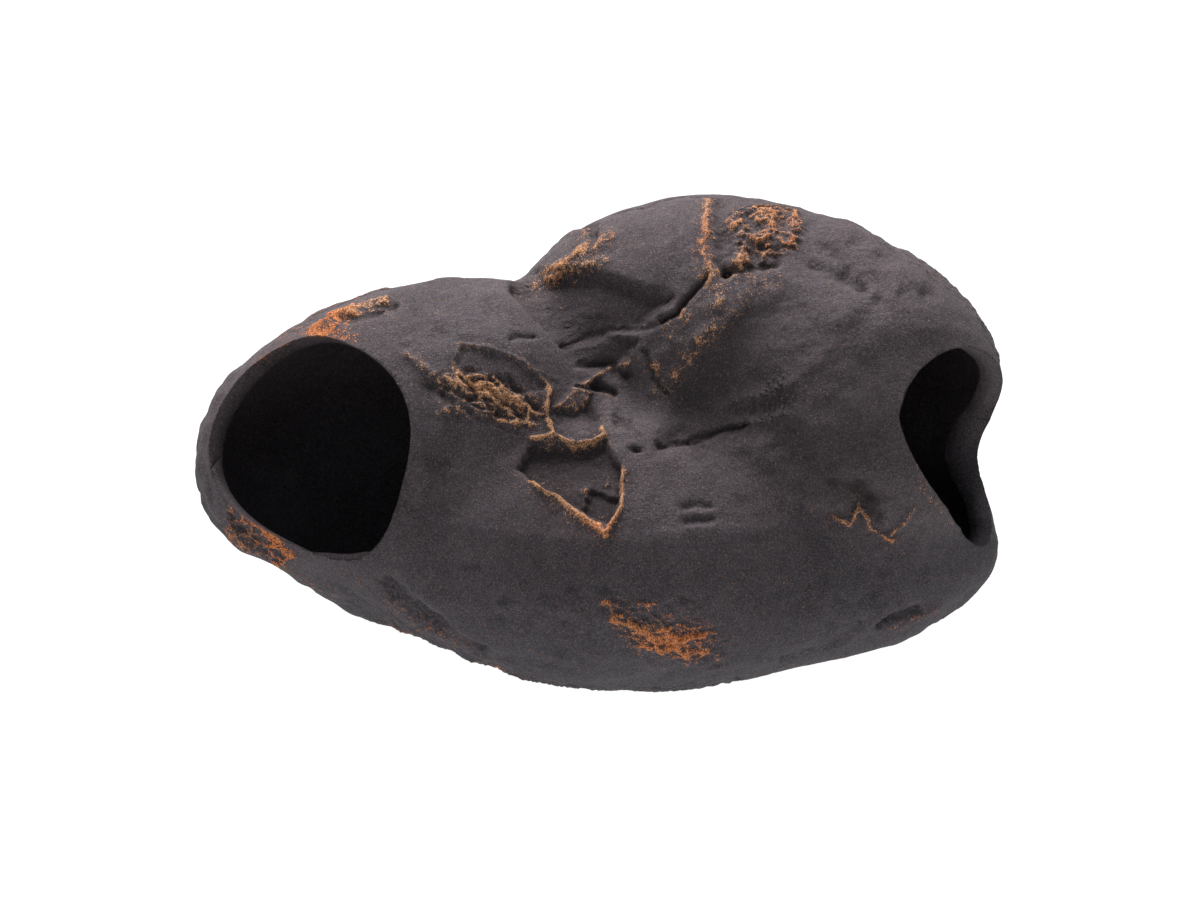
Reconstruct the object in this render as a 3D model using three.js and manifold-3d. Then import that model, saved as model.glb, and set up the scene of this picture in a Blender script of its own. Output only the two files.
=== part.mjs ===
// Cave ornament for an aquarium: a hollow rock with a mouth at each end, cast as an upper and a lower shell
// that are bonded together. Millimetres, +Z up. The origin is on the floor under the middle of the rock,
// +X runs along its length from the large mouth to the small one, and -Y is its front.
import * as THREE from "three";
import { mergeVertices } from "three/addons/utils/BufferGeometryUtils.js";
import Module from "manifold-3d";

const wasm = await Module();
wasm.setup();

// Driving dimensions
const WALL = 5.5;
const SEAM_HEIGHT = 58;
const SEAM_GAP = 1.2; // left between the two castings for the bond
const BEAD_INSET = 1.3; // from each face of the wall to the bond
const BEAD_SETBACK = 3; // from the wall of each mouth to the end of a bead
const BEAD_SPLIT = -32; // the bond in front of this Y is one bead, and the rest is the other
const OUTER_DETAIL = 15; // icosahedron splits: 20 * (n + 1)^2 triangles
const INNER_DETAIL = 9;
const PUNCH_SIDES = 48;
const PUNCH_POWER = 2.5; // 2 is an oval, and more is squarer
const PUNCH_START = 20; // how far inside its middle a punch begins
const BIG = 400;

// The middle of the rock, which every point of its skin can be seen from.
const HEART = new THREE.Vector3(1, -6, 54);
// Shares out the triangles: more of them towards the two ends of a long rock.
const SPREAD = new THREE.Vector3(1.5, 1, 0.95);
// The search for the skin along a line of sight starts this far out, comes in by strides, and then halves.
const FAR = 150;
const STRIDE = 1.5;
const HALVINGS = 10;

// The boulders that the rock is blended from: centre, half sizes, and the turns about Z and then about their own
// Y, in degrees. Blend is how widely a boulder runs into those before it.
const BOULDERS = [
  { name: "left lobe", at: [-56, -1, 59], half: [56, 42, 37], turn: 4, tip: -17, blend: 0 },
  { name: "left foot", at: [-45, 0, 27], half: [44, 32, 28], turn: 0, tip: 10, blend: 10 },
  { name: "left shoulder", at: [-27, 2, 64], half: [36, 36, 36], turn: 0, tip: 0, blend: 6 },
  { name: "rear hump", at: [36, 22, 74], half: [61, 42, 41], turn: 0, tip: 4, blend: 5 },
  { name: "right lobe", at: [72, -4, 68], half: [40, 44, 42], turn: 0, tip: 0, blend: 14 },
  { name: "front belly", at: [11, -20, 37], half: [78, 44, 41], turn: 0, tip: 2, blend: 9 },
  { name: "rear foot", at: [24, 14, 32], half: [66, 38, 34], turn: 0, tip: 0, blend: 12 },
  { name: "right foot", at: [69, -7, 28], half: [43, 38, 28], turn: 0, tip: 0, blend: 10 },
];

// Broad hollows in the skin, and ridges where the depth is negative: the middle, the half sizes and the depth.
const DENTS = [
  { name: "bowl", at: [55, -36, 88], half: [22, 26, 24], depth: 8 },
  { name: "bowl crest", at: [32, -16, 96], half: [9, 14, 14], depth: -3 },
  { name: "valley", at: [-7, -8, 91], half: [12, 22, 18], depth: 4 },
  { name: "trough", at: [61, -52, 60], half: [10, 16, 14], depth: 3 },
  { name: "pit", at: [-2, -44, 70], half: [12, 12, 10], depth: 3 },
];

// Each mouth is punched through one end, and the right one has its lower corner punched out as well: the middle
// of the punch, the way it points, by azimuth from the front (positive to the right) and elevation, its roll, in
// degrees, and its half width and half height.
const MOUTHS = [
  { name: "left mouth", at: [-75, -24.5, 69.5], azimuth: -42, elevation: 40, roll: -2, half: [28, 25.5] },
  { name: "right mouth", at: [96, -18.2, 66.9], azimuth: 66, elevation: 4, roll: -49, half: [30.6, 20] },
  { name: "right mouth corner", at: [97.5, -15, 47.5], azimuth: 66, elevation: 4, roll: -49, half: [11, 10.5] },
];

const radians = THREE.MathUtils.degToRad;

function boulderField({ at, half, turn, tip }) {
  const centre = new THREE.Vector3(...at);
  const size = new THREE.Vector3(...half);
  const turned = new THREE.Matrix4()
    .makeRotationZ(radians(turn))
    .multiply(new THREE.Matrix4().makeRotationY(radians(tip)));
  const inward = turned.clone().invert();
  const p = new THREE.Vector3();
  return (point) => {
    p.copy(point).sub(centre).applyMatrix4(inward).divide(size);
    const near = p.length();
    const slope = p.divide(size).length();
    return slope < 1e-9 ? -Math.min(...half) : (near * (near - 1)) / slope;
  };
}

function smoothMin(a, b, blend) {
  if (blend <= 0) return Math.min(a, b);
  const h = Math.max(blend - Math.abs(a - b), 0) / blend;
  return Math.min(a, b) - (h * h * blend) / 4;
}

const boulders = BOULDERS.map((b) => ({ field: boulderField(b), blend: b.blend }));

// Roughly how far a point is outside the rock's skin, negative inside.
function rock(point) {
  let d = Infinity;
  for (const { field, blend } of boulders) d = d === Infinity ? field(point) : smoothMin(d, field(point), blend);
  return d;
}

// How far the skin is pushed in at a point of it.
function dent(point) {
  let depth = 0;
  for (const { at, half, depth: most } of DENTS) {
    const [x, y, z] = [(point.x - at[0]) / half[0], (point.y - at[1]) / half[1], (point.z - at[2]) / half[2]];
    depth += most * Math.exp(-(x * x + y * y + z * z));
  }
  return depth;
}

// The closed skin that lies a depth inside the rock, as a solid.
function skin(depth, detail) {
  const ball = new THREE.IcosahedronGeometry(1, detail);
  ball.deleteAttribute("normal");
  ball.deleteAttribute("uv");
  const geometry = mergeVertices(ball, 1e-5);
  const position = geometry.getAttribute("position");
  const way = new THREE.Vector3();
  const point = new THREE.Vector3();
  for (let i = 0; i < position.count; i++) {
    way.fromBufferAttribute(position, i).multiply(SPREAD).normalize();
    let outside = FAR;
    while (outside > 0 && rock(point.copy(HEART).addScaledVector(way, outside)) + depth > 0) outside -= STRIDE;
    let inside = outside;
    outside += STRIDE;
    for (let halving = 0; halving < HALVINGS; halving++) {
      const middle = (inside + outside) / 2;
      if (rock(point.copy(HEART).addScaledVector(way, middle)) + depth > 0) outside = middle;
      else inside = middle;
    }
    point.addScaledVector(way, -dent(point));
    position.setXYZ(i, point.x, point.y, point.z);
  }
  return solid(geometry);
}

function solid(geometry) {
  const bare = geometry.clone();
  bare.deleteAttribute("normal");
  bare.deleteAttribute("uv");
  const merged = mergeVertices(bare, 1e-4);
  return new wasm.Manifold(
    new wasm.Mesh({
      numProp: 3,
      vertProperties: merged.getAttribute("position").array,
      triVerts: new Uint32Array(merged.index.array),
    }),
  );
}

function mesh(name, made, material) {
  const { vertProperties, triVerts } = made.getMesh();
  const geometry = new THREE.BufferGeometry();
  geometry.setAttribute("position", new THREE.BufferAttribute(vertProperties, 3));
  geometry.setIndex(new THREE.BufferAttribute(triVerts, 1));
  geometry.computeVertexNormals();
  const built = new THREE.Mesh(geometry, material);
  built.name = name;
  return built;
}

// The punch that opens a mouth: a bar, between an oval and a box in section, that starts inside the rock and
// points out of it.
function punch({ at, azimuth, elevation, roll, half }) {
  const outline = new THREE.Shape();
  for (let i = 0; i < PUNCH_SIDES; i++) {
    const angle = (i / PUNCH_SIDES) * 2 * Math.PI;
    const x = Math.sign(Math.cos(angle)) * Math.abs(Math.cos(angle)) ** (2 / PUNCH_POWER) * half[0];
    const y = Math.sign(Math.sin(angle)) * Math.abs(Math.sin(angle)) ** (2 / PUNCH_POWER) * half[1];
    if (i === 0) outline.moveTo(x, y);
    else outline.lineTo(x, y);
  }
  const bar = new THREE.ExtrudeGeometry(outline, { depth: BIG, bevelEnabled: false });
  bar.translate(0, 0, -PUNCH_START).rotateZ(radians(roll));
  bar.rotateX(Math.PI / 2 - radians(elevation)).rotateZ(radians(azimuth));
  return solid(bar.translate(...at));
}

// A block between two corners, given as [x, y, z].
function block(low, high) {
  const [wide, deep, tall] = high.map((most, axis) => most - low[axis]);
  const [x, y, z] = high.map((most, axis) => (most + low[axis]) / 2);
  return solid(new THREE.BoxGeometry(wide, deep, tall).translate(x, y, z));
}

function slab(low, high) {
  return block([-BIG, -BIG, low], [BIG, BIG, high]);
}

const underground = slab(-BIG, 0);
const seam = slab(SEAM_HEIGHT - SEAM_GAP / 2, SEAM_HEIGHT + SEAM_GAP / 2);
const aboveSeam = slab(SEAM_HEIGHT + SEAM_GAP / 2, BIG);
const belowSeam = slab(-BIG, SEAM_HEIGHT - SEAM_GAP / 2);
const front = block([-BIG, -BIG, 0], [BIG, BEAD_SPLIT, BIG]);

// Cuts the mouths out of a closed solid, each one wider than it is by a margin on every side.
function openMouths(closed, margin) {
  const wider = MOUTHS.map((mouth) => ({ ...mouth, half: mouth.half.map((size) => size + margin) }));
  return wider.reduce((open, mouth) => open.subtract(punch(mouth)), closed);
}

// The hollow rock, in one piece: its floor is flat inside and out.
const chamber = skin(WALL, INNER_DETAIL).subtract(slab(-BIG, WALL));
const shell = openMouths(skin(0, OUTER_DETAIL).subtract(underground).subtract(chamber), 0);

// The bond that fills the seam, set in from both faces of the wall and from the mouths.
const ring = skin(BEAD_INSET, OUTER_DETAIL).subtract(skin(WALL - BEAD_INSET, INNER_DETAIL));
const bond = openMouths(ring.intersect(seam), BEAD_SETBACK);

const resin = new THREE.MeshStandardMaterial({ color: 0x4a4245, roughness: 0.9, metalness: 0 });
const adhesive = new THREE.MeshStandardMaterial({ color: 0x2b2628, roughness: 0.6, metalness: 0 });

const part = new THREE.Group();
part.add(mesh("upper_shell", shell.intersect(aboveSeam), resin));
part.add(mesh("lower_shell", shell.intersect(belowSeam), resin));
part.add(mesh("front_seam_bead", bond.intersect(front), adhesive));
part.add(mesh("rear_seam_bead", bond.subtract(front), adhesive));

export default part;
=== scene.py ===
"""The looks of the cave ornament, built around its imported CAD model.

The two cast shells are copied, fused for a moment so that one skin runs over both, given their rock
relief, and parted again at the seam. Lengths are in millimetres until a mesh is written. Blender and the
frame use metres.
"""

import math
from itertools import product

import bmesh
import bpy
import numpy as np
from mathutils import Matrix, Vector


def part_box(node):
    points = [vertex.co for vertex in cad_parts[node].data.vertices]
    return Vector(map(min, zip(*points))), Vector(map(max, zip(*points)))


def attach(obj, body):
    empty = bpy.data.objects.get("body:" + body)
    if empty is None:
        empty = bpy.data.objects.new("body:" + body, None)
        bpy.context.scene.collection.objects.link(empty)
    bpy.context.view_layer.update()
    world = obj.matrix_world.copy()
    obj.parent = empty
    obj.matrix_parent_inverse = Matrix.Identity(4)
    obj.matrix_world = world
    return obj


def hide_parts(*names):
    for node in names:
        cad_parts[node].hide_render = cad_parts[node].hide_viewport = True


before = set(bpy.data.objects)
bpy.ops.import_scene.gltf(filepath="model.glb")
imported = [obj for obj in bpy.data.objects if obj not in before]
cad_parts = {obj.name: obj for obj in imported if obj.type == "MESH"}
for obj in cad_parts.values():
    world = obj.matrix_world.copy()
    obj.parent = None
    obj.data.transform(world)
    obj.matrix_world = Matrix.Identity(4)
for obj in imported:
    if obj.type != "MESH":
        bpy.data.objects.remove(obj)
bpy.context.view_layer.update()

MM = 0.001

# The fused skin
SEAM = (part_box("upper_shell")[0].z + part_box("lower_shell")[1].z) / 2 / MM
SEAM_LAP = 0.8
VOXEL = 1.25  # edge of its quads before the outside is divided
SMOOTHINGS = 28
ROUGH_FROM = 0.06  # features this high, in mm, have their faces divided
FINE_FROM = 0.35  # and these have them divided again
DEEPEST = 4.2  # no groove cuts further into the wall

# The mouths, as the CAD model punches them: the middle of the punch, the way it points, by azimuth from
# the front and elevation, its roll, and its half width and half height. They are cut again a little wider,
# past the chips that the voxels leave along their edges.
MOUTHS = (
    ((-75, -24.5, 69.5), -42, 40, -2, (28, 25.5)),
    ((96, -18.2, 66.9), 66, 4, -49, (30.6, 20)),
    ((97.5, -15, 47.5), 66, 4, -49, (11, 10.5)),
)
MOUTH_POWER = 2.5  # 2 is an oval, and more is squarer
MOUTH_SIDES = 160
MOUTH_START, MOUTH_END = -20, 60  # along the punch
WIDER = 1.8
SHARP_FROM = math.radians(40)  # between the faces at a mouth's edge
RIM_WIDTH = 0.6  # how much of the skin beside a mouth is shaded as its rim
# The bond's outer side is set this much further in, and no groove at the seam cuts further than its cover.
BOND_INSET = 2
BOND_COVER = 3
SEAM_ZONE = 3  # above and below the seam

# The picture plane stands square to the line of sight through the middle of the rock. A point on it is
# (x to the right, rise up the plane), and the eye looks through it at the skin behind.
AIM = np.array([1.0, -2.0, 56.0])
ELEVATION = math.radians(30)
DISTANCE = 950.0
RIGHT = np.array([1.0, 0.0, 0.0])
RISE = np.array([0.0, math.sin(ELEVATION), math.cos(ELEVATION)])
TOWARDS_EYE = np.array([0.0, -math.cos(ELEVATION), math.sin(ELEVATION)])

# The middle of the rock, which every point of the outside faces away from.
HEART = np.array([1.0, -6.0, 54.0])

# Broad swells and hollows of the skin: x, y, z, radius, height.
SWELLS = (
    (68, 16, 110, 13, 2.4),
    (-80, 9, 88, 12, -1.8),
    (-92, 10, 79, 10, -1.2),
    (-47, 8, 98, 11, 1.4),
    (-108, -16, 52, 14, -1),
    (24, -61, 50, 22, 4),
    (84, -8, 108, 13, 1.4),
    (76, -36, 94, 15, -2.2),
    (100, -32, 20, 14, -3),
)

# Gradient noise: a shuffle of the cells, and the twelve slopes that they take.
PERMUTATION = np.random.default_rng(11).permutation(256)
SLOPES = np.array([(a, b, 0) for a in (-1, 1) for b in (-1, 1)] * 3, float)
SLOPES[4:8] = np.roll(SLOPES[4:8], 1, axis=1)
SLOPES[8:] = np.roll(SLOPES[8:], 2, axis=1)


def smoothstep(low, high, value):
    share = np.clip((value - low) / (high - low), 0, 1)
    return share * share * (3 - 2 * share)


def unit(vectors):
    return vectors / np.maximum(np.linalg.norm(vectors, axis=1, keepdims=True), 1e-9)


def noise(points, size, seed=0):
    """Smooth noise from about -1 to 1, whose lumps are about size across."""
    place = points / size + seed * 7.31
    cell = np.floor(place).astype(int)
    within = place - cell
    ease = within**3 * (within * (within * 6 - 15) + 10)
    total = np.zeros(len(points))
    for corner in product((0, 1), repeat=3):
        x, y, z = (cell + corner).T
        key = PERMUTATION[(PERMUTATION[(PERMUTATION[x & 255] + y) & 255] + z) & 255]
        weight = np.where(corner, ease, 1 - ease).prod(axis=1)
        total += weight * ((within - corner) * SLOPES[key % 12]).sum(axis=1)
    return total * 1.3


def layers(points, size, count, seed=0):
    """Noise with finer and finer noise added, each half the size and half the height of the last."""
    return sum(noise(points, size / 2**i, seed + i) / 2**i for i in range(count))


# ---------------------------------------------------------------- the fused skin


def new_object(name, mesh):
    made = bpy.data.objects.new(name, mesh)
    bpy.context.scene.collection.objects.link(made)
    return made


def fused_shells():
    """Both shells as one voxel skin. Each is drawn past the seam, so that the gap for the bond closes."""
    together = bmesh.new()
    for name, edge, past in (("upper_shell", 0, -SEAM_LAP), ("lower_shell", 1, SEAM_LAP)):
        start = len(together.verts)
        together.from_mesh(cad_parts[name].data)
        together.verts.ensure_lookup_table()
        seam_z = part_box(name)[edge].z
        for vert in together.verts[start:]:
            if abs(vert.co.z - seam_z) < 0.1 * MM:
                vert.co.z = (SEAM + past) * MM
    bmesh.ops.remove_doubles(together, verts=together.verts, dist=1e-6)
    mesh = bpy.data.meshes.new("fused")
    together.to_mesh(mesh)
    together.free()
    whole = new_object("fused", mesh)
    remesh = whole.modifiers.new("fuse", "REMESH")
    remesh.mode = "VOXEL"
    remesh.voxel_size = VOXEL * MM
    made = bpy.data.meshes.new_from_object(whole.evaluated_get(bpy.context.evaluated_depsgraph_get()))
    bpy.data.objects.remove(whole)
    return made


def read(mesh, what, kind, width):
    values = np.zeros(len(getattr(mesh, what)) * width, np.float32)
    getattr(mesh, what).foreach_get(kind, values)
    return values.reshape(-1, width).astype(float)


def places(mesh):
    return read(mesh, "vertices", "co", 3) / MM


def facings(mesh):
    return read(mesh, "vertex_normals", "vector", 3)


def move(mesh, points):
    mesh.vertices.foreach_set("co", (points * MM).astype(np.float32).ravel())
    mesh.update()


def neighbour_mean(values, edges):
    a, b = edges.T
    count = np.bincount(edges.ravel(), minlength=len(values))
    sums = [np.bincount(a, v[b], len(v)) + np.bincount(b, v[a], len(v)) for v in values.T]
    return np.stack(sums, axis=1) / np.maximum(count, 1)[:, None]


def edge_pairs(mesh):
    edges = np.zeros(len(mesh.edges) * 2, np.int32)
    mesh.edges.foreach_get("vertices", edges)
    return edges.reshape(-1, 2)


def smooth(mesh, rounds):
    """Takes out the facets and the voxel steps, and leaves the sharp edges where they are."""
    edges = edge_pairs(mesh)
    points = places(mesh)
    spread = neighbour_mean(neighbour_mean(facings(mesh), edges), edges)
    sharp = smoothstep(0.02, 0.07, 1 - np.linalg.norm(spread, axis=1))
    for _ in range(rounds):
        for step in (0.5, -0.52):
            calm = (neighbour_mean(points, edges) - points) * (1 - sharp)[:, None]
            points = points + calm * step
    move(mesh, points)


def mouth_turn(azimuth, elevation, roll):
    turns = ((azimuth, "Z"), (90 - elevation, "X"), (roll, "Z"))
    first, second, third = (Matrix.Rotation(math.radians(angle), 3, axis) for angle, axis in turns)
    return first @ second @ third


def past_mouths(points):
    """How far the points are, in mm, outside the side of the nearest mouth's punch."""
    nearest = np.full(len(points), np.inf)
    for at, azimuth, elevation, roll, half in MOUTHS:
        x, y, z = ((points - at) @ np.array(mouth_turn(azimuth, elevation, roll))).T
        powers = np.abs(x / half[0]) ** MOUTH_POWER + np.abs(y / half[1]) ** MOUTH_POWER
        round_it = powers ** (1 / MOUTH_POWER)
        beside = np.where(z > MOUTH_START, (round_it - 1) * min(half) - WIDER, np.inf)
        nearest = np.minimum(nearest, beside)
    return nearest


def mouth_bar(at, azimuth, elevation, roll, half):
    turn, middle = mouth_turn(azimuth, elevation, roll), Vector(at)
    work = bmesh.new()
    rings = []
    for z in (MOUTH_START, MOUTH_END):
        ring = []
        for i in range(MOUTH_SIDES):
            angle = i / MOUTH_SIDES * math.tau
            x, y = (
                math.copysign(abs(way) ** (2 / MOUTH_POWER), way) * (size + WIDER)
                for way, size in zip((math.cos(angle), math.sin(angle)), half)
            )
            ring.append(work.verts.new((middle + turn @ Vector((x, y, z))) * MM))
        rings.append(ring)
    start, end = rings
    work.faces.new(start[::-1])
    work.faces.new(end)
    for i in range(MOUTH_SIDES):
        j = (i + 1) % MOUTH_SIDES
        work.faces.new((start[i], start[j], end[j], end[i]))
    mesh = bpy.data.meshes.new("bar")
    work.to_mesh(mesh)
    work.free()
    return new_object("bar", mesh)


def cut_mouths(mesh):
    """The skin with its mouths cut again, and no face of more than four sides."""
    whole = new_object("uncut", mesh)
    bars = [mouth_bar(*mouth) for mouth in MOUTHS]
    for bar in bars:
        cut = whole.modifiers.new("cut", "BOOLEAN")
        cut.solver = "MANIFOLD"
        cut.object = bar
    made = bpy.data.meshes.new_from_object(whole.evaluated_get(bpy.context.evaluated_depsgraph_get()))
    for scrap in (whole, *bars):
        bpy.data.objects.remove(scrap)
    work = bmesh.new()
    work.from_mesh(made)
    bmesh.ops.remove_doubles(work, verts=work.verts, dist=0.12 * MM)
    bmesh.ops.triangulate(work, faces=[face for face in work.faces if len(face.verts) > 4])
    work.to_mesh(made)
    work.free()
    return made


def divide(mesh, share):
    """Divides the faces whose corners average over half of share, each into four."""
    work = bmesh.new()
    work.from_mesh(mesh)
    faces = [face for face in work.faces if sum(share[v.index] for v in face.verts) > 0.5 * len(face.verts)]
    edges = {edge for face in faces for edge in face.edges}
    bmesh.ops.subdivide_edges(work, edges=list(edges), cuts=1, use_grid_fill=True)
    work.to_mesh(mesh)
    work.free()


def outside(points, normals):
    """1 on the outer skin and 0 on the rims of the mouths and inside."""
    return smoothstep(0.02, 0.16, (normals * unit(points - HEART)).sum(axis=1))


# ---------------------------------------------------------------- the relief


def picture(points):
    """Where points show on the picture plane: an (n, 2) array of x and rise."""
    from_eye = points - (AIM + TOWARDS_EYE * DISTANCE)
    enlarge = DISTANCE / -(from_eye @ TOWARDS_EYE)
    return np.stack([AIM[0] + from_eye @ RIGHT * enlarge, from_eye @ RISE * enlarge], axis=1)


def distance_to_line(at, line):
    """How far each place in the plane is from a line through the given points."""
    nearest = np.full(len(at), np.inf)
    for start, end in zip(line[:-1], line[1:]):
        along = end - start
        share = np.clip((at - start) @ along / max(along @ along, 1e-9), 0, 1)
        nearest = np.minimum(nearest, np.linalg.norm(at - start - share[:, None] * along, axis=1))
    return nearest


def inside_outline(at, outline):
    crossings = np.zeros(len(at), int)
    for (x0, y0), (x1, y1) in zip(outline, np.roll(outline, -1, axis=0)):
        spans = (y0 > at[:, 1]) != (y1 > at[:, 1])
        crossings += spans & (at[:, 0] < x0 + (at[:, 1] - y0) * (x1 - x0) / ((y1 - y0) or 1e-9))
    return crossings % 2 == 1


class Relief:
    """Heights along the skin's normals in mm, and three shares from 0 up: orange brushed on, darkening that
    is partly a dark paint settled in the hollows and partly painted shade on steep faces and in hollows, and
    rough ground. Strokes, spots and areas are laid on the picture plane, and fall on the skin behind it."""

    def __init__(self, points, normals, flip=False):
        seen = points * [-1, -1, 1] + 2 * AIM * [1, 1, 0] if flip else points
        facing = normals * [-1, -1, 1] if flip else normals
        to_eye = unit(AIM + TOWARDS_EYE * DISTANCE - seen)
        self.show = smoothstep(0.0, 0.3, (facing * to_eye).sum(axis=1)) * outside(points, normals)
        wander = np.stack([noise(points, 5, s) * 0.6 + noise(points, 1.7, s) * 0.35 for s in (3, 5)], axis=1)
        self.at = picture(seen) + wander
        self.uneven = 1 + 0.45 * noise(points, 5, 8)
        self.height = np.zeros(len(points))
        self.brush = np.zeros(len(points))
        self.wash_and_shade = np.zeros(len(points))
        self.rough = np.zeros(len(points))

    def near(self, outline, reach):
        low, high = outline.min(axis=0) - reach, outline.max(axis=0) + reach
        return np.flatnonzero(((self.at > low) & (self.at < high)).all(axis=1) & (self.show > 0))

    def stroke(self, line, width, height, brush=0, spread=None, wash_and_shade=0):
        """A groove or ridge along a line. Spread is how far the brushed orange reaches from it."""
        line = np.array(line, float)
        spread = spread or width
        here = self.near(line, 3 * width + 5 * spread + 4 * (brush > 0))
        away = distance_to_line(self.at[here], line)
        close = np.exp(-((away / width) ** 2)) * self.show[here]
        self.height[here] += height * close * self.uneven[here]
        self.wash_and_shade[here] += wash_and_shade * close
        laid = np.exp(-((away / spread) ** 2)) + 0.3 * np.exp(-((away / (2.2 * spread + 2)) ** 2))
        self.brush[here] += brush * laid * self.show[here]

    def spot(self, x, rise, size, height, brush=0, wash_and_shade=0):
        """A lump or pit: size is its radius, or its half width and half height."""
        size = np.array(size if isinstance(size, tuple) else (size, size), float)
        middle = np.array([[x, rise]], float)
        here = self.near(middle, 3 * size.max())
        away = np.linalg.norm((self.at[here] - middle) / size, axis=1)
        close = np.exp(-(away**2)) * self.show[here]
        self.height[here] += height * close
        self.brush[here] += brush * close
        self.wash_and_shade[here] += wash_and_shade * close

    def area(self, outline, height, edge, wash_and_shade=0, brush=0, rough=0):
        """A patch of skin set up or down, that runs out over an edge of the given width."""
        outline = np.array(outline, float)
        here = self.near(outline, edge)
        away = distance_to_line(self.at[here], np.vstack([outline, outline[:1]]))
        signed = np.where(inside_outline(self.at[here], outline), away, -away)
        share = smoothstep(-edge / 2, edge / 2, signed) * self.show[here]
        self.height[here] += height * share
        self.wash_and_shade[here] += wash_and_shade * share
        self.brush[here] += brush * share
        self.rough[here] += rough * share


def front_features(stroke, spot, area):
    """What shows on the rock from the front, as places on the picture plane in whole millimetres."""
    # The darkening given with these features is painted shade on steep faces and in hollows, and partly a
    # dark paint settled in the hollows.
    # The valley between the left lobe and the hump, and the steep face above it.
    area([(-22, 43), (-8, 28), (12, 32), (21, 40), (2, 46), (-16, 47)], -3.5, edge=5, wash_and_shade=0.45)
    area([(-8, 28), (-4, 22), (5, 20), (12, 28), (0, 30)], -2, edge=3, wash_and_shade=0.3)
    stroke([(-22, 43), (-12, 32), (-8, 27), (-5, 22), (5, 20)], 1.5, -1.6, wash_and_shade=0.5)
    stroke([(-7, 29), (7, 32), (13, 31), (19, 34)], 0.9, -0.9, wash_and_shade=0.4)
    stroke([(18, 34), (23, 36), (31, 46)], 0.8, -1.7, wash_and_shade=0.6)
    # The raised plate on the left lobe, and the striations that slant down below it.
    area([(-39, 21), (-37, 26), (-28, 26), (-18, 21), (-12, 15), (-26, 12), (-36, 16)], -0.8, edge=1.2)
    stroke([(-39, 20), (-37, 26), (-28, 26), (-18, 21), (-12, 15)], 0.7, 0.6, brush=0.4, spread=0.5)
    stroke([(-18, 21), (-10, 17)], 0.6, 0.35, brush=0.25, spread=0.4)
    for i in range(6):
        x, rise = -36 + 2.5 * i, 18
        stroke([(x, rise), (x + 4, rise - 5), (x + 9, rise - 9)], 0.9, -0.9, wash_and_shade=0.3)
    for i in range(5):
        x, rise = -37 + 3 * i, 19 - i
        stroke([(x, rise), (x + 4, rise - 3), (x + 8, rise - 6)], 0.9, 0.7, brush=0.85, spread=1.2)
    stroke([(-51, 24), (-45, 19), (-36, 15)], 1.1, 0.8, brush=0.7, spread=1.4)
    stroke([(-43, 8), (-38, 9)], 1, 0.6, brush=0.6, spread=1.2)
    stroke([(-26, 6), (-18, 5)], 0.9, 0.8, brush=1, spread=1)
    area([(-44, 19), (-34, 21), (-20, 16), (-12, 9), (-18, 4), (-42, 8)], 0, edge=3, brush=0.3, rough=1)
    for x, rise in ((-45, 15), (-41, 15), (-34, 12), (-27, 8), (-20, 8)):
        spot(x, rise, 2.2, -1.2, wash_and_shade=0.5)
    # The knot of small ridges and pockets.
    area([(-11, 10), (-6, 15), (0, 14), (-5, 8)], 1.3, edge=1.5, brush=0.75)
    stroke([(-13, 15), (-13, 8), (-12, 2)], 0.9, 1.2, brush=1.1, spread=1)
    stroke([(-17, 1), (-12, 2), (-5, -1), (3, 2), (2, 4)], 0.9, 1, brush=1.1, spread=0.9)
    stroke([(-5, 16), (0, 15), (5, 13)], 0.6, 0.6, brush=0.35, spread=0.5)
    stroke([(-3, 16), (3, 20), (9, 22)], 0.7, 0.7, brush=0.6, spread=0.6)
    stroke([(0, 16), (5, 14)], 1.2, -1.8, wash_and_shade=0.7)
    spot(8, 19, (2, 1.3), -2, wash_and_shade=0.7)
    spot(-2, 9, 3.6, -1.8, wash_and_shade=0.4)
    # The three-cornered pit, with its brushed lower edges.
    pit = [(-21, -7), (-17, 0), (-5, -1), (3, 1), (7, -8), (7, -16), (3, -23), (-14, -12)]
    area(pit, -3, edge=2, wash_and_shade=0.5)
    area([(-1, -12), (6, -14), (3, -22), (-3, -18)], -1.5, edge=1.5, wash_and_shade=0.3)
    stroke([(-16, -11), (-7, -18), (3, -25)], 1.1, 1.1, brush=1.2, spread=1.3)
    stroke([(3, -25), (8, -18), (7, -13), (8, -8)], 0.8, 0.9, brush=1.2, spread=0.8)
    stroke([(-17, -13), (0, -24)], 3, 0, brush=0.35, spread=3.5)
    for x, rise in ((8, -10), (3, -10), (-3, -12)):
        spot(x, rise, 1.3, 0.7, brush=0.8)
    spot(11, -2, (1.9, 1), -1.4, wash_and_shade=0.7)
    # The channel at the top of the hump, with a brushed streak and scratches at its left, and rough blocks
    # at its right.
    stroke([(35, 67), (35, 60), (36, 47)], 2.2, -1.8, wash_and_shade=0.4)
    stroke([(36, 47), (50, 49)], 1.3, -1.4, wash_and_shade=0.5)
    stroke([(43, 53), (54, 54)], 1.2, -1.2, wash_and_shade=0.5)
    stroke([(31, 67), (30, 55), (32, 46)], 1.8, 0.7, brush=0.95, spread=2.4)
    for x in (29, 26, 23):
        stroke([(x, 63), (x - 1, 55), (x, 48)], 0.8, -0.35)
    area([(38, 65), (55, 65), (58, 60), (56, 53), (40, 48)], 0, edge=2.5, brush=0.62, rough=1.3)
    left_blocks = ((38, 60, 2.4), (46, 62, 2.6), (46, 56, 3))
    right_blocks = ((55, 61, 2.3), (54, 55, 1.5), (40, 50, 2.2), (50, 60, 2.6))
    for x, rise, size in left_blocks + right_blocks:
        spot(x, rise, size, 1.4, brush=1)
    spot(42, 62, 2.1, -1.5, wash_and_shade=0.5)
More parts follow.
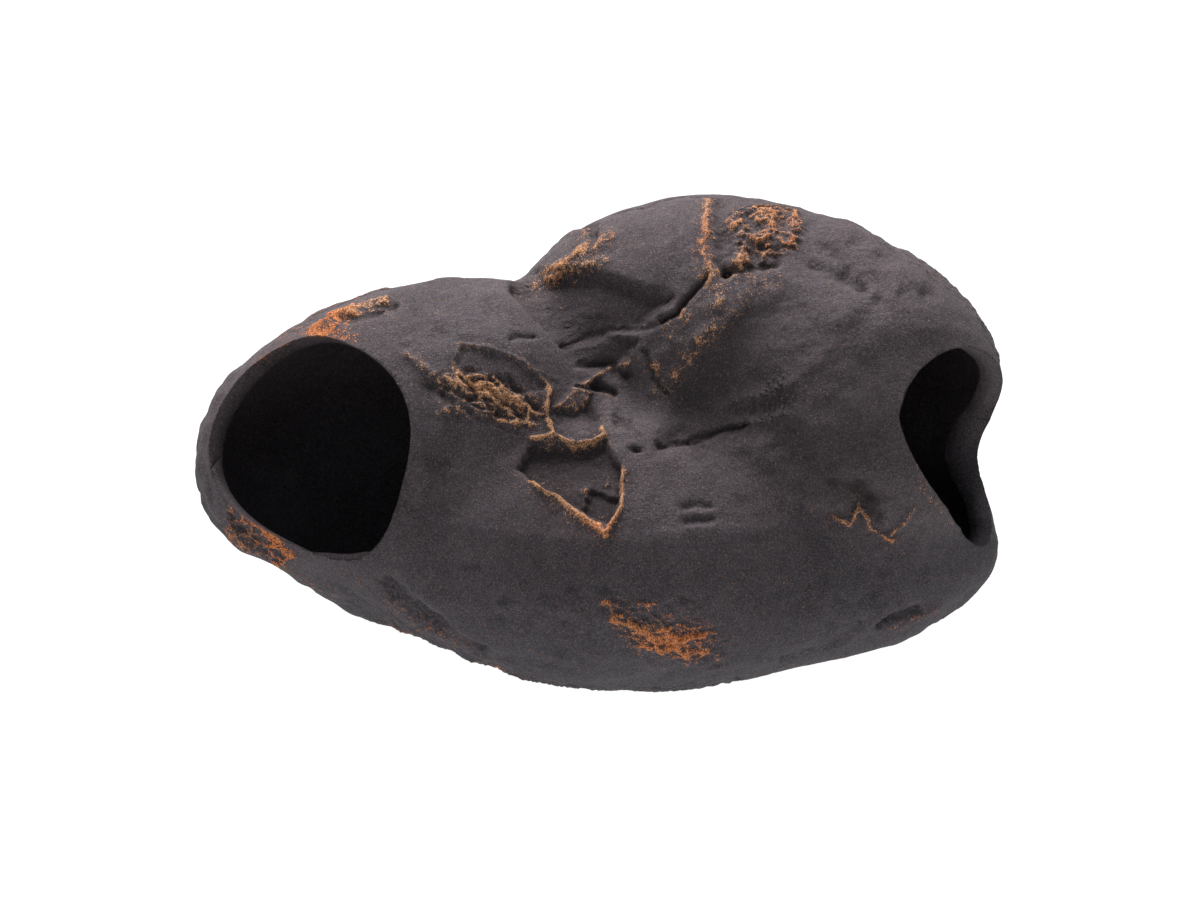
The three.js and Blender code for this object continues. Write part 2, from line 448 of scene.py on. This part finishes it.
    # The crest that runs down beside the bowl, speckled along its right edge.
    stroke([(50, 45), (40, 37), (30, 28), (19, 14)], 4.5, 1.2, brush=0.5, spread=3.2)
    stroke([(40, 48), (34, 39), (25, 33), (17, 21)], 2.4, 0.7, brush=0.28, spread=3.5)
    stroke([(14, 25), (16, 18), (20, 14)], 0.8, -1, wash_and_shade=0.4)
    left_specks = ((17, 21), (20, 30), (25, 35), (33, 42), (43, 45))
    right_specks = ((34, 38), (33, 31), (30, 28), (26, 23), (23, 19))
    for x, rise in left_specks + right_specks:
        spot(x, rise, 1.9, 0.3, brush=0.8)
    # The bowl, the edge of the shelf under it, the trough, and the brushed crack beside the small mouth.
    bowl = [(20, 12), (29, 27), (42, 38), (57, 39), (80, 20), (84, 4), (75, -5), (51, 1), (20, 2)]
    area(bowl, -1.2, edge=7, wash_and_shade=0.35)
    stroke([(18, 0), (28, 2), (40, 5)], 1.3, -1.4, wash_and_shade=0.5)
    stroke([(52, -1), (64, -8), (75, -16)], 4, -2.2, wash_and_shade=0.4)
    stroke([(73, -12), (78, -20)], 1.6, -1.2, wash_and_shade=0.4)
    stroke([(66, -21), (70, -22), (73, -18), (76, -23), (82, -27)], 0.8, 0.9, brush=0.75, spread=0.9)
    stroke([(82, -25), (88, -18)], 0.9, 0.7, brush=0.6, spread=1.3)
    stroke([(88, -5), (92, -15), (98, -22)], 1, 0.3, brush=0.5, spread=1.3)
    # Soft dents in the shelf.
    for rise, height in ((-18, -1), (-20, 0.6), (-22, -0.7), (-24, 0.5)):
        stroke([(25, rise), (32, rise + 1)], 1.3, height)
    # Cracks in the lobe and the upper right, and pits all over.
    stroke([(-23, 29), (-17, 29)], 0.8, -0.8, wash_and_shade=0.4)
    stroke([(60, 49), (74, 43)], 1.6, -1.1, wash_and_shade=0.3)
    lobe_pits = ((-52, 27), (-43, 30))
    belly_pits = ((-33, -34), (-24, -43), (-27, -48), (-6, -40), (-8, -49), (3, -40), (-9, -57))
    for x, rise in lobe_pits + belly_pits:
        spot(x, rise, (2.2, 1.5), -0.6, wash_and_shade=0.25)
    for x, rise in ((57, 63), (60, 60), (63, 54), (66, 52), (69, 47), (73, 44), (78, 39), (85, 41), (91, 40)):
        spot(x, rise, 1.8, -0.9, wash_and_shade=0.25)
    for x, rise in ((69, 56), (75, 51), (81, 31), (70, 38), (85, 47), (92, 31), (79, 57)):
        spot(x, rise, 4.5, 0.8)
    # The crease at the lower left.
    stroke([(-57, -38), (-50, -45), (-38, -54), (-31, -57)], 1.8, -1.8, wash_and_shade=0.4)
    stroke([(-57, -43), (-48, -51), (-36, -56)], 1.8, 0.8, brush=0.55, spread=2.2)
    spot(-65, -38, (6, 3), 0, brush=0.35)
    # The streaks under the large mouth, and the ridges on top of it.
    area([(-101, -17), (-97, -17), (-83, -31), (-87, -34), (-100, -25)], 0, edge=1.5, brush=0.35, rough=1)
    for x, rise in ((-98, -17), (-101, -24), (-94, -20)):
        stroke([(x, rise), (x + 5, rise - 5), (x + 11, rise - 11)], 1, 0.8, brush=1.1, spread=1.1)
    stroke([(-100, -20), (-90, -31)], 1.1, -1.4, wash_and_shade=0.5)
    stroke([(-86, -34), (-76, -41)], 1.5, 0.6, brush=0.9, spread=1.6)
    stroke([(-93, 24), (-83, 30), (-72, 32), (-66, 36)], 1.3, 1, brush=1, spread=1.5)
    stroke([(-78, 31), (-66, 29)], 1.2, 0.4, brush=0.9, spread=1.3)
    stroke([(-72, 34), (-64, 37), (-57, 39)], 1, 0.9, brush=1.1, spread=1.2)
    stroke([(-69, 33), (-55, 38)], 1.1, -1.3, wash_and_shade=0.5)
    # The orange ledges on the left shoulder of the hump.
    stroke([(-17, 45), (-9, 49), (5, 57)], 1.4, 0.9, brush=0.9, spread=1.5)
    stroke([(-12, 46), (3, 50)], 1.3, 0.7, brush=0.8, spread=1.8)
    # The branching orange cracks low on the belly.
    area([(0, -42), (26, -43), (37, -54), (35, -62), (10, -59)], 0, edge=4, brush=0.3, rough=0.6)
    stroke([(5, -48), (10, -49), (12, -52), (20, -55), (30, -53)], 0.9, 0.8, brush=1.4, spread=1)
    for x, rise in ((13, -55), (18, -52), (20, -56), (10, -50)):
        stroke([(x, rise), (x + 6, rise - 2), (x + 11, rise - 1)], 0.8, 0.6, brush=0.9, spread=0.9)
    for x in (3, 15):
        spot(x, -44, (2.5, 1.2), 0.5, brush=0.9)
    # The crease and the brown streak at the lower right.
    stroke([(52, -60), (64, -56), (73, -50)], 1.3, -1)
    stroke([(78, -50), (89, -45)], 1, -1.4, wash_and_shade=0.5)
    stroke([(82, -51), (94, -45)], 1.2, 0.5, brush=0.55, spread=1)


def back_features(stroke, spot, area):
    """Features of the same kinds for the far side, laid out on a picture plane seen from behind."""
    # The darkening given with these features is painted shade in grooves and hollows, and partly a dark paint
    # settled in them.
    stroke([(-62, 22), (-48, 14), (-40, 2), (-26, -6), (-12, -8)], 1.6, -1.8, wash_and_shade=0.4)
    stroke([(-60, 18), (-48, 10), (-40, -2), (-28, -10)], 1.6, 0.8, brush=0.6, spread=2.2)
    stroke([(-2, 58), (4, 44), (2, 30), (10, 18), (14, 4)], 1.4, -1.6, wash_and_shade=0.4)
    stroke([(0, 54), (7, 42), (5, 30), (13, 16)], 2.2, 0.7, brush=0.45, spread=3)
    hollow = [(22, 8), (29, 14), (42, 12), (57, 2), (50, -7), (42, -11), (33, -22), (26, -9)]
    area(hollow, -2, edge=3, wash_and_shade=0.35)
    stroke([(42, 12), (50, 8), (57, 2)], 0.9, 0.9, brush=0.9, spread=1.3)
    stroke([(42, -11), (33, -22), (29, -15)], 0.9, 0.7, brush=0.6, spread=1.6)
    area([(-84, 4), (-66, 8), (-58, -8), (-70, -20), (-84, -12)], 0, edge=5, brush=0.3, rough=1)
    stroke([(-84, 0), (-74, -4), (-66, -12), (-58, -14)], 1, 0.8, brush=1, spread=1.1)
    stroke([(-76, 6), (-70, -2), (-62, -4)], 1, 0.7, brush=0.8, spread=1)
    stroke([(-34, 34), (-22, 30), (-12, 34), (-4, 30)], 1, -1, wash_and_shade=0.4)
    stroke([(60, 26), (70, 18), (80, 16), (92, 6)], 1.3, -1.2, wash_and_shade=0.3)
    stroke([(62, 22), (72, 14), (84, 10)], 1.4, 0.6, brush=0.6, spread=1.8)
    for x, rise, size, height in (
        (-20, 12, 3, -1),
        (30, 40, 2.4, -0.9),
        (-46, -22, 3, -0.8),
        (70, -12, 2.6, -1),
        (8, -24, 3.4, -0.9),
        (-6, -36, 2.4, -0.7),
        (44, 30, 5, 1),
        (-74, 30, 4.5, 0.9),
        (16, 50, 4, 0.8),
    ):
        spot(x, rise, size, height)


def ridged(points, size, seed):
    """Sharp-crested noise from about -1 to 1, like the edges of broken rock."""
    first = 1 - 2.4 * np.abs(noise(points, size, seed))
    second = 1 - 2.4 * np.abs(noise(points, size * 0.47, seed + 1))
    return (first + 0.5 * second * np.clip(first + 0.4, 0, 1)) / 1.2


def swollen(points):
    """Broad swells and hollows that carry the outline: each has a middle, a radius and a height."""
    total = np.zeros(len(points))
    for *middle, radius, height in SWELLS:
        total += height * np.exp(-(((points - middle) ** 2).sum(axis=1) / radius**2))
    return total


def swell(mesh):
    """Moves the outside by the broad swells, before the mouths are cut, so that their edges stay clean."""
    points, normals = places(mesh), facings(mesh)
    move(mesh, points + normals * (outside(points, normals) * swollen(points))[:, None])


def relief_of(mesh):
    """The whole relief of a skin: the features laid on both sides, and the ground everywhere."""
    points, normals = places(mesh), facings(mesh)
    front, back = Relief(points, normals), Relief(points, normals, flip=True)
    front_features(front.stroke, front.spot, front.area)
    back_features(back.stroke, back.spot, back.area)
    skin = outside(points, normals)
    past = past_mouths(points)
    free = skin * smoothstep(0.2, 4, past)
    far = skin * (1 - np.maximum(front.show, 0.6 * back.show))
    fissure = np.abs(layers(points, 30, 3, seed=21))
    stained = smoothstep(0.1, 0.5, layers(points, 44, 2, seed=27)) * far
    crack = np.exp(-((fissure / 0.045) ** 2)) * smoothstep(-0.1, 0.3, noise(points, 40, 30)) * far
    rough = np.clip(front.rough + back.rough + stained, 0, 1.2)
    patchy = smoothstep(-0.2, 0.6, noise(points, 24, 33))

    left_end = smoothstep(-84, -96, points[:, 0])
    broad = layers(points, 30, 2, seed=1) * 0.6 + 0.7 * noise(points, 8, 17) * left_end
    uneven = layers(points, 10, 3, seed=4) * (0.3 + 0.35 * patchy)
    broken = ridged(points * [1, 1, 1.3] + points[:, [2]] * [0.5, 0, 0], 4.2, 50) * 0.8 * rough
    grain = layers(points, 2.2, 2, seed=12) * (0.06 + 0.06 * patchy + 0.14 * rough)
    small = front.height + back.height - 1.2 * crack + broken + uneven + grain
    height = free * (small + broad) + (1 - skin) * 0.2 * (broad + grain) * smoothstep(0.2, 4, past)
    edges = edge_pairs(mesh)
    around = small[:, None]
    for _ in range(8):
        around = neighbour_mean(around, edges)
    crest = (small - around[:, 0]) / 0.22
    brush = front.brush + back.brush + 0.75 * stained * smoothstep(0.3, 0.0, fissure)
    brush = np.clip(brush * (0.34 + 0.62 * np.clip(crest + 0.15, 0, 1.3)), 0, 1.4)
    return {
        "height": np.maximum(height, -np.where(np.abs(points[:, 2] - SEAM) < SEAM_ZONE, BOND_COVER, DEEPEST)),
        "brush": 0.66 * brush**1.2 * skin,
        # Darkening from the features and along the cracks: painted shade in hollows and cracks, and partly a
        # dark paint settled there.
        "wash_and_shade": np.clip(front.wash_and_shade + back.wash_and_shade + 0.4 * crack, 0, 1) * skin,
        # Height above the surrounding skin: it sets painted highlights on small crests and painted shade in
        # small dips.
        "crest": np.clip(0.5 + 0.3 * crest, 0, 1),
        "warm": warmth(points, front),
        "detail": np.abs(front.height) + np.abs(back.height) + 0.3 * (front.brush + back.brush + rough),
    }


def warmth(points, front):
    """0 where the brushed colour is a tan gold and 1 where it is a rust orange."""
    x, rise = front.at.T
    low = smoothstep(-12, -38, rise)
    left = smoothstep(-58, -76, x)
    crown = 0.35 * smoothstep(42, 52, rise)
    return np.clip(np.maximum.reduce([low, left, crown]) + 0.35 * noise(points, 14, 41), 0, 1)


def store(mesh, name, values, kind="FLOAT"):
    attribute = mesh.attributes.new(name, kind, "POINT")
    field = "vector" if kind == "FLOAT_VECTOR" else "value"
    attribute.data.foreach_set(field, values.astype(np.float32).ravel())


def weathered_skin():
    mesh = fused_shells()
    smooth(mesh, SMOOTHINGS)
    swell(mesh)
    mesh = cut_mouths(mesh)
    for finest in (ROUGH_FROM, FINE_FROM):
        divide(mesh, relief_of(mesh)["detail"] > finest)
    relief = relief_of(mesh)
    points = places(mesh) + facings(mesh) * relief["height"][:, None]
    points[:, 2] = np.maximum(points[:, 2], 0)
    move(mesh, points)
    # The darkening share holds painted shade as well as a dark paint, and the crest share later sets painted
    # highlights and shade.
    for name in ("brush", "wash_and_shade", "warm", "crest"):
        store(mesh, name, relief[name])
    clear_of_rims = past_mouths(places(mesh)) > RIM_WIDTH
    store(mesh, "soft_normal", facings(mesh) * clear_of_rims[:, None], "FLOAT_VECTOR")
    return mesh


def part_at_seam(skin, name, upper):
    """One side of the skin as a closed piece, shaded as if the two still ran on into each other. The rims of
    the mouths have no soft normal, so they take their shading from the faces, with a sharp edge."""
    half = bmesh.new()
    half.from_mesh(skin)
    bmesh.ops.bisect_plane(
        half,
        geom=half.verts[:] + half.edges[:] + half.faces[:],
        plane_co=(0, 0, SEAM * MM),
        plane_no=(0, 0, 1),
        clear_inner=upper,
        clear_outer=not upper,
    )
    rim = [edge for edge in half.edges if edge.is_boundary]
    caps = bmesh.ops.holes_fill(half, edges=rim, sides=0)["faces"]
    bmesh.ops.triangulate(half, faces=caps)
    mesh = bpy.data.meshes.new(name)
    half.to_mesh(mesh)
    half.free()
    mesh.polygons.foreach_set("use_smooth", [True] * len(mesh.polygons))
    mesh.set_sharp_from_angle(angle=SHARP_FROM)
    normals = np.zeros(len(mesh.vertices) * 3, np.float32)
    mesh.attributes["soft_normal"].data.foreach_get("vector", normals)
    mesh.attributes.remove(mesh.attributes["soft_normal"])
    mesh.normals_split_custom_set_from_vertices(normals.reshape(-1, 3).tolist())
    return new_object(name, mesh)


def hidden_bead(name):
    """A bead of the bond inside the seam, narrowed from its outer side to stay under the deeper grooves."""
    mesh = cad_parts[name].data.copy()
    points = places(mesh)
    normals = facings(mesh) * [1, 1, 0]
    outer = (unit(normals) * unit((points - HEART) * [1, 1, 0])).sum(axis=1) > 0.2
    move(mesh, points - unit(normals) * outer[:, None] * BOND_INSET)
    mesh.materials.clear()
    return new_object(f"{name}_inside", mesh)


# ---------------------------------------------------------------- materials


class Nodes:
    """Short calls for building a node tree."""

    def __init__(self, name):
        self.material = bpy.data.materials.new(name)
        self.material.use_nodes = True
        self.tree = self.material.node_tree
        self.shader = self.tree.nodes["Principled BSDF"]
        place = self.add("ShaderNodeTexCoord").outputs["Object"]
        self.place = self.add("ShaderNodeVectorMath", operation="SCALE")
        self.tree.links.new(place, self.place.inputs[0])
        self.place.inputs["Scale"].default_value = 1 / MM
        self.place = self.place.outputs[0]

    def add(self, kind, **settings):
        node = self.tree.nodes.new(kind)
        for key, value in settings.items():
            setattr(node, key, value)
        return node

    def link(self, value, socket):
        if isinstance(value, bpy.types.NodeSocket):
            self.tree.links.new(value, socket)
        else:
            socket.default_value = value

    def noise(self, size, detail=3.0, rough=0.55):
        """Noise from 0 to 1 whose lumps are about size millimetres across."""
        node = self.add("ShaderNodeTexNoise")
        self.link(self.place, node.inputs["Vector"])
        node.inputs["Scale"].default_value = 1 / size
        node.inputs["Detail"].default_value = detail
        node.inputs["Roughness"].default_value = rough
        return node.outputs["Fac"]

    def attribute(self, name):
        return self.add("ShaderNodeAttribute", attribute_name=name).outputs["Fac"]

    def math(self, operation, a, b=0.0, clamp=False):
        node = self.add("ShaderNodeMath", operation=operation, use_clamp=clamp)
        self.link(a, node.inputs[0])
        self.link(b, node.inputs[1])
        return node.outputs[0]

    def ramp(self, value, low, high, start=0.0, end=1.0):
        node = self.add("ShaderNodeMapRange", interpolation_type="SMOOTHSTEP")
        for socket, given in zip(node.inputs, (value, low, high, start, end)):
            self.link(given, socket)
        return node.outputs[0]

    def mix(self, share, a, b, blend="MIX"):
        node = self.add("ShaderNodeMix", data_type="RGBA", blend_type=blend)
        for socket, given in ((node.inputs[0], share), (node.inputs[6], a), (node.inputs[7], b)):
            self.link((*given, 1.0) if isinstance(given, tuple) else given, socket)
        return node.outputs[2]

    def bump(self, height, depth, before=None):
        node = self.add("ShaderNodeBump")
        node.inputs["Strength"].default_value = 1.0
        node.inputs["Distance"].default_value = depth * MM
        self.link(height, node.inputs["Height"])
        if before is not None:
            self.link(before, node.inputs["Normal"])
        return node.outputs[0]


def painted_resin():
    """Dark brown-grey resin with a sandy grain and orange dry-brushed on its high spots. Its hollows are
    darker, partly from a dark paint settled in them and partly as painted shade. Small crests are painted
    lighter and small dips darker, as painted highlight and shade, and low down it is painted darker and
    bluer, as painted shade."""
    n = Nodes("painted_resin")
    sand = n.noise(0.42, 2, 0.7)
    grit = n.noise(1.3, 4, 0.75)
    cloud = n.noise(24, 4, 0.6)
    crest = n.attribute("crest")
    tone = n.mix(n.ramp(cloud, 0.34, 0.66), (0.066, 0.053, 0.059), (0.088, 0.074, 0.081))
    tone = n.mix(n.ramp(grit, 0.38, 0.66, 0, 0.5), tone, (0.048, 0.039, 0.044))
    # Lighter on small crests and darker in small dips: painted highlight and painted shade.
    tone = n.mix(n.ramp(crest, 0.5, 0.95, 0, 0.35), tone, (0.125, 0.105, 0.112))
    tone = n.mix(n.ramp(crest, 0.5, 0.1, 0, 0.6), tone, (0.036, 0.029, 0.032))
    tone = n.mix(n.ramp(sand, 0.52, 0.66, 0, 0.5), tone, (0.200, 0.168, 0.172))
    tone = n.mix(n.ramp(sand, 0.47, 0.35, 0, 0.6), tone, (0.022, 0.017, 0.020))
    # Darker in the hollows and on steep faces: painted shade, and partly a dark paint settled in the hollows.
    tone = n.mix(n.math("MULTIPLY", n.attribute("wash_and_shade"), 0.8, clamp=True), tone, (0.030, 0.024, 0.026))
    fleck = n.ramp(n.noise(0.6, 2, 0.8), 0.62, 0.68, 0, 0.6)
    tone = n.mix(fleck, tone, (0.250, 0.155, 0.088))

    # Darker and bluer low down: painted shade.
    height = n.add("ShaderNodeSeparateXYZ")
    n.link(n.place, height.inputs[0])
    tone = n.mix(n.ramp(height.outputs["Z"], 70, 20), tone, (0.84, 0.91, 0.98), blend="MULTIPLY")

    speck = n.ramp(n.noise(0.4, 1, 0.6), 0.28, 0.72)
    patch = n.ramp(n.noise(1.4, 2, 0.6), 0.3, 0.7)
    score = n.math("ADD", n.math("MULTIPLY", speck, 0.66), n.math("MULTIPLY", patch, 0.34))
    laid = n.ramp(n.math("SUBTRACT", n.attribute("brush"), score), -0.14, 0.14, 0, 0.92)
    gold = n.mix(n.ramp(sand, 0.4, 0.62), (0.190, 0.088, 0.042), (0.760, 0.420, 0.220))
    rust = n.mix(n.ramp(sand, 0.4, 0.62), (0.240, 0.070, 0.024), (0.860, 0.300, 0.095))
    tone = n.mix(laid, tone, n.mix(n.attribute("warm"), gold, rust))

    n.link(tone, n.shader.inputs["Base Color"])
    n.link(n.ramp(grit, 0.3, 0.7, 0.82, 0.96), n.shader.inputs["Roughness"])
    n.shader.inputs["Specular IOR Level"].default_value = 0.3
    relief = n.bump(grit, 0.45, n.bump(sand, 0.3))
    n.link(n.bump(laid, 0.08, relief), n.shader.inputs["Normal"])
    return n.material


def dull_adhesive():
    n = Nodes("dull_adhesive")
    blot = n.noise(1.2, 4, 0.6)
    n.link(n.mix(blot, (0.030, 0.026, 0.028), (0.060, 0.052, 0.054)), n.shader.inputs["Base Color"])
    n.link(n.ramp(blot, 0.3, 0.7, 0.55, 0.75), n.shader.inputs["Roughness"])
    n.link(n.bump(blot, 0.2), n.shader.inputs["Normal"])
    return n.material


def plain(name, colour, roughness):
    n = Nodes(name)
    n.shader.inputs["Base Color"].default_value = (*colour, 1)
    n.shader.inputs["Roughness"].default_value = roughness
    n.shader.inputs["Specular IOR Level"].default_value = 0.2
    return n.material


# ---------------------------------------------------------------- the studio


def floor():
    mesh = bpy.data.meshes.new("floor")
    half = 3.0
    corners = [(-half, -half, 0), (half, -half, 0), (half, half, 0), (-half, half, 0)]
    mesh.from_pydata(corners, [], [(0, 1, 2, 3)])
    made = new_object("floor", mesh)
    pale = plain("pale_floor", (0.12, 0.12, 0.12), 0.9)
    pale.node_tree.nodes["Principled BSDF"].inputs["Emission Color"].default_value = (1, 1, 1, 1)
    pale.node_tree.nodes["Principled BSDF"].inputs["Emission Strength"].default_value = 1.0
    made.data.materials.append(pale)


def soft_light(name, at, size, watts, colour):
    """A square light that faces the rock from a place given in metres."""
    data = bpy.data.lights.new(name, "AREA")
    data.size = size
    data.energy = watts
    data.color = colour
    made = new_object(name, data)
    made.location = at
    made.rotation_euler = (Vector(AIM * MM) - made.location).to_track_quat("-Z", "Y").to_euler()


def studio():
    floor()
    soft_light("overhead", (-0.2, 0.92, 1.35), 1.3, 63, (1, 0.965, 0.98))
    world = bpy.data.worlds.new("studio")
    world.use_nodes = True
    world.node_tree.nodes["Background"].inputs["Color"].default_value = (0.9, 0.96, 1, 1)
    world.node_tree.nodes["Background"].inputs["Strength"].default_value = 0.26
    bpy.context.scene.world = world
    bpy.context.scene.view_settings.view_transform = "Standard"


def camera():
    """Looks at the rock along the picture plane's line of sight, a little off its middle."""
    data = bpy.data.cameras.new("camera")
    data.sensor_width = 36
    data.lens = 103.7
    made = new_object("camera", data)
    aside = RIGHT * 0.55 - RISE * 1.9
    made.location = (AIM + aside + TOWARDS_EYE * DISTANCE) * MM
    made.rotation_euler = (math.pi / 2 - ELEVATION, 0, 0)
    bpy.context.scene.camera = made


camera()
studio()
resin = painted_resin()
skin = weathered_skin()
for name, upper in (("upper_shell", True), ("lower_shell", False)):
    rock = part_at_seam(skin, f"{name}_weathered", upper)
    rock.data.materials.clear()
    rock.data.materials.append(resin)
    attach(rock, "root")
    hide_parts(name)
bpy.data.meshes.remove(skin)
adhesive = dull_adhesive()
for name in ("front_seam_bead", "rear_seam_bead"):
    bead = hidden_bead(name)
    bead.data.materials.append(adhesive)
    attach(bead, "root")
    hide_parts(name)
